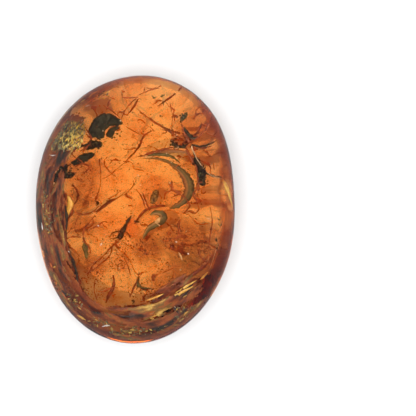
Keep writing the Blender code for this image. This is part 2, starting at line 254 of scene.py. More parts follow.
amberLook = {
    "colour": (0.985, 0.62, 0.03),  # of the absorption
    "density": 102,
    "roughness": 0.02,
    "specular": 0.22,
    "windowEdge": (  # where the bright middle of the photo ends
        (112, 91), (130, 84), (160, 83), (178, 88), (192, 99), (204, 114), (212, 132), (216, 160),
        (216, 190), (217, 220), (215, 243), (205, 260), (188, 270), (172, 280), (160, 289), (146, 298),
        (128, 305), (106, 307), (92, 300), (82, 290), (76, 276), (73, 262), (68, 247), (66, 232),
        (66, 215), (66, 193), (68, 172), (76, 150), (86, 132), (92, 108),
    ),
    "rimFade": (-0.25, 0.9),  # mm outside that edge
    "rimWave": 1.2,  # mm that the fade strays
    # rim tones: partly the weathered skin's colour, partly painted shade of the dark margin
    "rimSkinAndShadeTones": ((0.32, (0.20, 0.055, 0.022)), (0.50, (0.32, 0.105, 0.042)), (0.68, (0.46, 0.20, 0.085))),
    "bands": (5, 14),  # how fast the tones change round the outline and across it
    "filmSide": (218, 88, 18),  # flow films lie under the dome: middle, reach either way and fade, in degrees
    # the flank fade and tone darken the lower flank: partly a skin stain, partly painted shade under the
    # overhang
    "flankFade": (1.2, 2.6),  # mm outside the window's edge, on the lower flank
    "flankStainAndShade": (0.26, 0.11, 0.06),
    "skinTop": (5.0, 6.5),  # heights in mm between which the stained skin of the underside ends
    "skinWander": 2.6,  # mm that the stains' edges stray
    "noises": {  # per mm, detail, roughness, distortion
        "wave": (0.4, 3, 0.5),
        "bands": (0.5, 4, 0.55, 0.4),
        "wander": (0.3, 4, 0.65),
        "cloud": (0.42, 6, 0.62, 0.5),
        "flecks": (2.2, 3, 0.6),
        "scratches": (6.0, 3, 0.5),
    },
    "cloudTones": ((0.36, (0.80, 0.48, 0.30)), (0.54, (1.0, 1.0, 1.0))),
    "fleckTones": ((0.33, (0.66, 0.40, 0.28)), (0.42, (1.0, 1.0, 1.0))),
    "clearSpots": (((228, 192), 2.0), ((231, 203), 1.3)),  # in the photo, radius in mm, free of rim tones
    "scratches": {"turn": 0.6, "stretch": 0.06, "strength": 0.12, "depth": 0.01},
    "clearCore": 0.6,  # share of a spot's radius before it fades
    "patchCore": 0.35,
    "patches": (  # place in the photo, radius in mm, tint of the skin underneath
        ((182, 240), 3.8, (0.34, 0.12, 0.06)),
        ((147, 247), 2.6, (0.38, 0.15, 0.08)),
        ((131, 228), 1.8, (0.75, 0.34, 0.18)),
        ((80, 172), 2.6, (0.60, 0.32, 0.22)),
        ((168, 296), 3.4, (0.55, 0.28, 0.18)),
        ((206, 266), 3.0, (0.50, 0.24, 0.16)),
        ((76, 262), 2.2, (0.55, 0.32, 0.24)),
        ((202, 122), 3.0, (0.62, 0.34, 0.22)),
        ((198, 160), 2.2, (0.60, 0.36, 0.26)),
        ((104, 96), 2.6, (0.70, 0.45, 0.32)),
        ((150, 186), 2.0, (0.78, 0.52, 0.42)),
        ((120, 262), 1.8, (0.75, 0.50, 0.40)),
        ((73, 203), 2.0, (0.46, 0.19, 0.11)),
        ((88, 194), 2.2, (0.62, 0.32, 0.21)),
        ((80, 226), 2.1, (0.50, 0.23, 0.14)),
        ((94, 268), 2.0, (0.62, 0.34, 0.24)),
        ((188, 272), 3.2, (0.42, 0.16, 0.08)),
        ((204, 200), 1.8, (0.78, 0.50, 0.40)),
        ((136, 128), 2.2, (0.84, 0.60, 0.48)),
        ((100, 176), 4.2, (0.93, 0.76, 0.66)),
        ((152, 214), 4.0, (0.92, 0.74, 0.62)),
        ((112, 226), 3.0, (0.96, 0.82, 0.70)),
        ((176, 200), 3.4, (0.94, 0.80, 0.70)),
    ),
}


windowEdge = [Vector(fromPhoto(*spot)) for spot in amberLook["windowEdge"]]


def windowDistance(x, y):  # millimetres outside the bright middle, negative within it
    spot = Vector((x, y))
    nearest, inside = math.inf, False
    for start, end in zip(windowEdge, windowEdge[1:] + windowEdge[:1]):
        run = end - start
        share = limited((spot - start).dot(run) / run.dot(run))
        nearest = min(nearest, (spot - start - run * share).length)
        if (start.y > y) != (end.y > y) and x < start.x + run.x * (y - start.y) / run.y:
            inside = not inside
    return -nearest if inside else nearest


def stoneSection():  # (share of the outline, height, shift of the middle), bottom to top
    section = []
    deep = stone["girdle"] / (1 - stone["flatShare"] ** stone["bellyPlan"]) ** (1 / stone["bellyRise"])
    lowest = math.asin((stone["girdle"] / deep) ** (stone["bellyRise"] / 2))
    for share in stone["flatRings"]:
        section.append((stone["flatShare"] * share, 0.0, 1.0))
    for i in range(stone["bellyRings"]):
        rise = lowest * (1 - i / stone["bellyRings"])
        height = stone["girdle"] - deep * math.sin(rise) ** (2 / stone["bellyRise"])
        shift = ((stone["girdle"] - height) / stone["girdle"]) ** stone["bellyRise"]
        section.append((math.cos(rise) ** (2 / stone["bellyPlan"]), max(height, 0), shift))
    for i in range(stone["domeRings"]):
        rise = math.pi / 2 * i / stone["domeRings"]
        lift = math.sin(rise) ** (2 / stone["domeRise"])
        height = stone["girdle"] + (stone["thickness"] - stone["girdle"]) * lift
        section.append((math.cos(rise) ** (2 / stone["domePlan"]), height, 0.0))
    return section


def stoneMesh():
    form = bmesh.new()
    around = stone["around"]
    broad, fine = stone["wobblePerMm"]
    rings = []
    for share, height, shift in stoneSection():
        ring = []
        for i in range(around):
            turn = math.tau * i / around
            reach = outlineRadius(turn) * share
            place = Vector((
                reach * math.cos(turn) - middle[0] + stone["flatShift"][0] * shift,
                reach * math.sin(turn) - middle[1] + stone["flatShift"][1] * shift,
                height,
            ))
            if height > 0:
                uneven = noise.noise(place * broad) + stone["fineWobble"] * noise.noise(place * fine)
                place *= 1 - stone["wobble"] / stone["wobbleReach"] * (1 + uneven)
            ring.append(form.verts.new(place * mm))
        rings.append(ring)
    for low, high in zip(rings, rings[1:]):
        for i in range(around):
            j = (i + 1) % around
            form.faces.new((low[i], low[j], high[j], high[i]))
    shiftX, shiftY = stone["flatShift"]
    foot = form.verts.new(Vector((shiftX - middle[0], shiftY - middle[1], 0)) * mm)
    crown = form.verts.new(Vector((-middle[0], -middle[1], stone["thickness"] - stone["wobble"])) * mm)
    for i in range(around):
        j = (i + 1) % around
        form.faces.new((rings[0][j], rings[0][i], foot))
        form.faces.new((rings[-1][i], rings[-1][j], crown))
    mesh = meshFrom(form, "amber")
    mesh.set_sharp_from_angle(angle=math.radians(stone["sharpFrom"]))

    bare = mesh.attributes.new("bare", "FLOAT", "POINT")  # 1 where no flow film lies under the dome
    rim = mesh.attributes.new("rim", "FLOAT", "POINT")
    flow = mesh.attributes.new("flow", "FLOAT_VECTOR", "POINT")  # round the outline and across it
    filmMiddle, filmReach, filmFade = amberLook["filmSide"]
    roundScale, acrossScale = amberLook["bands"]
    for vertex, bareValue, rimValue, flowValue in zip(mesh.vertices, bare.data, rim.data, flow.data):
        x, y = vertex.co.xy / mm
        turn = math.atan2(y, x)
        fromFilm = abs((math.degrees(turn) - filmMiddle + 180) % 360 - 180)
        bareValue.value = limited((fromFilm - filmReach) / filmFade)
        rimValue.value = windowDistance(x, y)
        wound = (roundScale * math.cos(turn), roundScale * math.sin(turn), acrossScale * outlineShare(x, y))
        flowValue.vector = Vector(wound) * mm
    return mesh


def amberMaterial():
    look, noises = amberLook, amberLook["noises"]
    sockets = {
        "Roughness": look["roughness"],
        "IOR": stone["index"],
        "Specular IOR Level": look["specular"],
        "Transmission Weight": 1.0,
    }
    material, tree, shader = newMaterial("amberClear", sockets)
    coords = objectCoords(tree)

    # browner towards the rim, in bands that follow the outline: partly the stone's weathered skin, partly
    # painted shade for the dark margin
    wave = mathOf(tree, "SUBTRACT", noiseOf(tree, coords, *noises["wave"]), 0.5)
    wave = mathOf(tree, "MULTIPLY", wave, look["rimWave"])
    away = attributeOf(tree, "rim")
    rimShare = mapRange(tree, mathOf(tree, "ADD", away, wave), *look["rimFade"])
    height = addNode(tree, "ShaderNodeSeparateXYZ", {}, {0: coords}).outputs["Z"]
    skinLow, skinHigh = look["skinTop"]
    lowSide = mapRange(tree, height, skinLow * mm, skinHigh * mm, 1.0, 0.0)
    uncovered = mathOf(tree, "MAXIMUM", attributeOf(tree, "bare"), lowSide)
    rimShare = mathOf(tree, "MULTIPLY", rimShare, uncovered)
    for place, radius in look["clearSpots"]:
        reach = distanceTo(tree, coords, seenAt(*place, stone["thickness"], 0.0) * mm)
        outside = mapRange(tree, reach, radius * look["clearCore"] * mm, radius * mm)
        rimShare = mathOf(tree, "MULTIPLY", rimShare, outside)
    bands = noiseOf(tree, attributeOf(tree, "flow", "Vector"), *noises["bands"])
    tint = mixOf(tree, rimShare, (1.0, 1.0, 1.0), rampOf(tree, bands, look["rimSkinAndShadeTones"]))

    # stained patches, cloud and flecks on the underside, and the darker flank, which is partly a skin stain
    # and partly painted shade under the overhang
    stray = look["skinWander"] * mm
    wander = noiseOf(tree, coords, *noises["wander"], output="Color")
    centred = vectorOf(tree, "MULTIPLY_ADD", wander, (stray,) * 3, (-stray / 2,) * 3)
    warped = vectorOf(tree, "ADD", coords, centred)
    under = (1.0, 1.0, 1.0)
    for place, radius, colour in look["patches"]:
        reach = distanceTo(tree, warped, seenAt(*place, 0.0) * mm)
        share = mapRange(tree, reach, radius * look["patchCore"] * mm, radius * mm, 1.0, 0.0)
        under = mixOf(tree, share, under, colour, "MULTIPLY")
    cloud = noiseOf(tree, warped, *noises["cloud"])
    under = mixOf(tree, 1.0, under, rampOf(tree, cloud, look["cloudTones"]), "MULTIPLY")
    flecks = noiseOf(tree, coords, *noises["flecks"])
    under = mixOf(tree, 1.0, under, rampOf(tree, flecks, look["fleckTones"]), "MULTIPLY")
    # painted shade, with a skin stain, on the lower flank
    under = mixOf(tree, mapRange(tree, away, *look["flankFade"]), under, look["flankStainAndShade"], "MULTIPLY")
    feed(tree, shader.inputs["Base Color"], mixOf(tree, lowSide, tint, under, "MULTIPLY"))

    # fine scratches of the polish, all drawn one way
    polish = look["scratches"]
    drawn = {"Rotation": (0, 0, polish["turn"]), "Scale": (1, polish["stretch"], 1), "Vector": coords}
    streaked = addNode(tree, "ShaderNodeMapping", {}, drawn).outputs["Vector"]
    scratches = noiseOf(tree, streaked, *noises["scratches"])
    addBump(tree, shader, scratches, polish["strength"], polish["depth"])

    depth = {"Color": look["colour"], "Density": look["density"]}
    absorb = addNode(tree, "ShaderNodeVolumeAbsorption", {}, depth)
    feed(tree, tree.nodes["Material Output"].inputs["Volume"], absorb.outputs["Volume"])
    return material


print("amber: clear stone")
newPiece("amber", stoneMesh(), amberMaterial(), ("amber_top", "amber_base"))


# materials of what is sealed in it

grain = {"perMm": 5.0, "tones": ((0.3, (0.6,) * 3), (0.7, (1.0,) * 3)), "relief": 0.6}


def plainMaterial(name, roughness, perMm, stops, reliefMm=0.02):
    material, tree, shader = newMaterial(name, {"Roughness": roughness})
    pattern = noiseOf(tree, objectCoords(tree), perMm, 5)
    feed(tree, shader.inputs["Base Color"], rampOf(tree, pattern, stops))
    addBump(tree, shader, pattern, grain["relief"], reliefMm)
    return material


def toneMaterial(name, roughness, attribute, stops, smooth="LINEAR"):  # colour by a value kept in the mesh
    material, tree, shader = newMaterial(name, {"Roughness": roughness})
    base = rampOf(tree, attributeOf(tree, attribute), stops, smooth)
    darker = rampOf(tree, noiseOf(tree, objectCoords(tree), grain["perMm"]), grain["tones"])
    feed(tree, shader.inputs["Base Color"], mixOf(tree, 1.0, base, darker, "MULTIPLY"))
    return material


inclusionLook = {
    # material: (roughness, noise per mm, dark and light stop, relief in mm)
    "bark": (0.62, 2.2, ((0.3, (0.004, 0.006, 0.005)), (0.7, (0.020, 0.027, 0.020))), 0.05),
    "soil": (0.9, 3.0, ((0.35, (0.006, 0.005, 0.004)), (0.72, (0.060, 0.048, 0.026))), 0.06),
    "stalk": (0.5, 2.0, ((0.35, (0.060, 0.009, 0.004)), (0.62, (0.360, 0.070, 0.022))), 0.02),
    "husk": (0.7, 4.0, ((0.42, (0.025, 0.012, 0.007)), (0.56, (0.34, 0.20, 0.09))), 0.04),
    "insect": (0.38, 3.0, ((0.3, (0.006, 0.004, 0.003)), (0.7, (0.040, 0.020, 0.010))), 0.02),
    "leaf": (0.55, 1.6, ((0.3, (0.06, 0.045, 0.018)), (0.7, (0.26, 0.24, 0.12))), 0.03),
}
materials = {name: plainMaterial(name, *look) for name, look in inclusionLook.items()}


# refined solids: the CAD form, with the broken surface that the real pieces have

refineLook = {
    # node: (material, voxel mm, broad roughness mm, fine roughness mm, thinned by mm)
    "bark_flake": ("bark", 0.07, 0.16, 0.05, 0.0),
    "bark_hook": ("bark", 0.06, 0.12, 0.04, 0.0),
    "bark_splinter": ("bark", 0.06, 0.14, 0.05, 0.0),
    "soil_clump": ("soil", 0.07, 0.25, 0.12, 0.0),
    "grain_cluster": ("soil", 0.06, 0.22, 0.10, 0.0),
    "moss_tuft": ("soil", 0.06, 0.25, 0.12, 0.0),
    "leaf_sliver": ("leaf", 0.05, 0.06, 0.02, 0.03),
    "needle_leaf": ("leaf", 0.05, 0.08, 0.03, 0.02),
    "seed_husk": ("husk", 0.05, 0.05, 0.03, 0.0),
    "leaf_stem": ("stalk", 0.05, 0.08, 0.03, 0.07),
    "stalk_left": ("stalk", 0.05, 0.08, 0.02, 0.09),
    "stalk_branch": ("stalk", 0.05, 0.09, 0.03, 0.11),
    "stalk_long": ("stalk", 0.05, 0.09, 0.02, 0.11),
    "blade_left": ("stalk", 0.05, 0.08, 0.02, 0.06),
    "blade_right": ("stalk", 0.05, 0.08, 0.02, 0.07),
    "blade_cross": ("stalk", 0.05, 0.08, 0.02, 0.07),
    "blade_low": ("stalk", 0.05, 0.08, 0.02, 0.05),
    "root_thread": ("stalk", 0.05, 0.06, 0.02, 0.09),
    "bract": ("stalk", 0.05, 0.08, 0.02, 0.06),
    "strand_left": ("stalk", 0.06, 0.16, 0.04, 0.02),
    "strand_bent": ("stalk", 0.05, 0.09, 0.03, 0.03),
    "branch_right": ("stalk", 0.05, 0.12, 0.04, 0.03),
    "branch_arm": ("stalk", 0.05, 0.09, 0.03, 0.05),
    "twig_short": ("stalk", 0.05, 0.06, 0.02, 0.03),
    "twig_long": ("stalk", 0.05, 0.06, 0.02, 0.03),
    "insect": ("insect", 0.045, 0.03, 0.02, 0.0),
}
refineForm = {
    "merge": 0.002,  # mm
    "relax": 4,
    "broadPerMm": 2.1,  # noise per mm
    "finePerMm": 7.3,
}


def refinedMesh(node, voxel, broad, fine, thinned):
    form = bmesh.new()
    form.from_mesh(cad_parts[node].data)
    bmesh.ops.remove_doubles(form, verts=form.verts, dist=refineForm["merge"] * mm)
    holder = newObject(node + "Cage", meshFrom(form, node + "Cage"))
    remesh = holder.modifiers.new("voxels", "REMESH")
    remesh.mode = "VOXEL"
    remesh.voxel_size = voxel * mm
    relax = holder.modifiers.new("relax", "SMOOTH")
    relax.iterations = refineForm["relax"]
    mesh = modifiedMesh(holder)
    normals = [v.normal.copy() for v in mesh.vertices]
    for vertex, normal in zip(mesh.vertices, normals):
        place = vertex.co / mm
        swell = broad * noise.noise(place * refineForm["broadPerMm"])
        swell += fine * noise.noise(place * refineForm["finePerMm"]) - thinned
        vertex.co += normal * swell * mm
    mesh.shade_smooth()
    return mesh


for node, (kind, *form) in refineLook.items():
    newPiece(node + "_look", refinedMesh(node, *form), materials[kind], (node,))
print("inclusions refined:", len(refineLook))


# swept pieces: leaves are flat and curled, strokes lie along the dome

sweepNoise = {"widthPerMm": 3.1, "edgePerMm": 5.0, "sideOffset": 2}  # the last sets the two edges apart


def between(t, a, b, c, d):  # a Catmull-Rom curve's value from b to c
    return (2 * b + (c - a) * t + (2 * a - 5 * b + 4 * c - d) * t**2 + (3 * b - a - 3 * c + d) * t**3) / 2


def smoothRoute(points, steps):  # points are (place, half width)
    route = []
    for i in range(len(points) - 1):
        before, start = points[max(i - 1, 0)], points[i]
        end, after = points[i + 1], points[min(i + 2, len(points) - 1)]
        for k in range(steps):
            route.append(tuple(between(k / steps, *four) for four in zip(before, start, end, after)))
    route.append(points[-1])
    return route


def sweepAlong(form, run, flatness=1.0, sides=8, steps=5, rough=0.15, curl=0.0, cover=0.5, lean=False):
    # run is a row of (px, py, height, half width); a leaning one lies along the dome, the others level
    points = []
    for px, py, z, width in run:
        points.append((seenAt(px, py, z, cover + width * (flatness if lean else 1)), width))
    route = smoothRoute(points, steps)
    acrossLayer = form.verts.layers.float.get("across") or form.verts.layers.float.new("across")
    rings = []
    for i, (place, width) in enumerate(route):
        ahead = route[min(i + 1, len(route) - 1)][0] - route[max(i - 1, 0)][0]
        side = ahead.cross(domeNormal(place.x, place.y) if lean else Vector((0, 0, 1))).normalized()
        lift = side.cross(ahead).normalized()
        width *= 1 + rough * noise.noise(place * sweepNoise["widthPerMm"])
        ring = []
        for k in range(sides):
            turn = math.tau * k / sides
            across, up = math.cos(turn), math.sin(turn) * flatness
            edge = place * sweepNoise["edgePerMm"] + Vector((across, up, 0)) * sweepNoise["sideOffset"]
            ragged = 1 + rough * noise.noise(edge)
            spot = place + side * across * width * ragged + lift * (up + curl * across**2) * width
            vertex = form.verts.new(spot * mm)
            vertex[acrossLayer] = 0.5 + 0.5 * across
            ring.append(vertex)
        rings.append(ring)
    for low, high in zip(rings, rings[1:]):
        for k in range(sides):
            j = (k + 1) % sides
            form.faces.new((low[k], high[k], high[j], low[j]))
    form.faces.new(rings[0])
    form.faces.new(list(reversed(rings[-1])))


def sweptPiece(name, runs, material, slotName, nodes=(), **how):
    form = bmesh.new()
    for run in runs:
        sweepAlong(form, run, **how)
    bmesh.ops.recalc_face_normals(form, faces=form.faces)
    newPiece(name, meshFrom(form, name), material, nodes)


# the curled leaf and the hooked tip

leafLook = {
    "curl": (  # along the middle of the band: px, py, height, half width
        (143, 158.5, 8.0, 0.04),
        (154, 158.5, 8.0, 0.13),
        (165, 160.6, 8.0, 0.19),
        (174, 165.4, 8.0, 0.28),
        (182, 171.8, 7.9, 0.40),
        (187.6, 180.0, 7.9, 0.58),
        (189.6, 189.5, 7.9, 0.68),
        (186.5, 198.0, 7.9, 0.58),
        (179, 204.8, 7.9, 0.36),
        (169.5, 208.5, 8.0, 0.12),
    ),
    "flap": (
        (147, 156.5, 8.3, 0.06),
        (158, 153.6, 8.5, 0.20),
        (170, 151.4, 8.6, 0.30),
        (182, 151.8, 8.6, 0.26),
        (190, 154.5, 8.5, 0.08),
    ),
    "tipBody": (
        (150.5, 215.0, 7.8, 0.12),
        (156, 212.5, 7.7, 0.30),
        (162.5, 214.5, 7.6, 0.50),
        (162, 220.0, 7.5, 0.50),
        (155.5, 224.5, 7.4, 0.42),
        (149, 228.5, 7.3, 0.34),
        (145.5, 234.0, 7.2, 0.22),
        (143.8, 238.5, 7.2, 0.08),
    ),
    "curlStops": (
        (0.0, (0.020, 0.020, 0.012)),
        (0.12, (0.070, 0.065, 0.035)),
        (0.34, (0.21, 0.155, 0.065)),
        (0.52, (0.11, 0.095, 0.045)),
        (0.70, (0.40, 0.17, 0.050)),
        (0.92, (0.20, 0.055, 0.018)),
        (1.0, (0.050, 0.020, 0.010)),
    ),
    "tipStops": (
        (0.0, (0.05, 0.045, 0.02)),
        (0.45, (0.12, 0.11, 0.055)),
        # a painted highlight along one side of the leaf tip
        (0.72, (0.46, 0.31, 0.22)),
        (1.0, (0.08, 0.065, 0.03)),
    ),
    "flapStops": ((0.0, (0.42, 0.13, 0.04)), (1.0, (0.26, 0.12, 0.04))),
}

leafForm = {
    # name: (material, run, stops, roughness, replaced nodes, flatness, sides, steps, raggedness, curl)
    "leaf_curl_look": ("leafCurl", "curl", "curlStops", 0.5, ("leaf_curl",), 0.16, 20, 12, 0.28, 0.35),
    "leaf_flap": ("leafFlap", "flap", "flapStops", 0.4, (), 0.12, 16, 12, 0.30, 0.25),
    "leaf_tip_look": ("leafTip", "tipBody", "tipStops", 0.5, ("leaf_tip",), 0.35, 16, 8, 0.14, 0.20),
}

for name, (skinName, run, stops, roughness, nodes, *form) in leafForm.items():
    skin = toneMaterial(skinName, roughness, "across", leafLook[stops], "EASE")
    how = dict(zip(("flatness", "sides", "steps", "rough", "curl"), form))
    sweptPiece(name, (leafLook[run],), skin, "leaf", nodes, **how)
print("leaves made")


# strokes: stalks, fibres, crack lines and stains too fine for a solid of their own, and painted glints and
# highlights

strokeLook = {
    # kind: (slot, roughness, dark tone, light tone, flatness, least cover under the dome in mm, raggedness)
    "red": ("stalk", 0.5, (0.12, 0.018, 0.007), (0.42, 0.095, 0.030), 0.5, 0.35, 0.8),
    "dark": ("soil", 0.6, (0.008, 0.006, 0.004), (0.045, 0.022, 0.012), 0.5, 0.35, 0.8),
    # the pale strokes are mostly painted glints along crack edges, and one is a painted highlight on the leaf
    # tip
    "pale": ("leaf", 0.4, (0.42, 0.30, 0.20), (0.85, 0.72, 0.58), 0.3, 0.30, 0.8),
    "olive": ("leaf", 0.5, (0.035, 0.035, 0.018), (0.16, 0.15, 0.07), 0.4, 0.35, 0.8),
    # the gold strokes are painted glints: light reflected from internal films
    "gold": ("leaf", 0.35, (0.70, 0.30, 0.03), (1.0, 0.66, 0.13), 0.25, 0.22, 0.35),
    # the white strokes are painted glints: specks of light just under the top and at the rim
    "white": ("leaf", 0.3, (0.80, 0.74, 0.66), (0.98, 0.96, 0.92), 0.6, 0.22, 0.8),
}

strokeGrain = {"perMm": 1.7, "dark": 0.33, "light": 0.66}

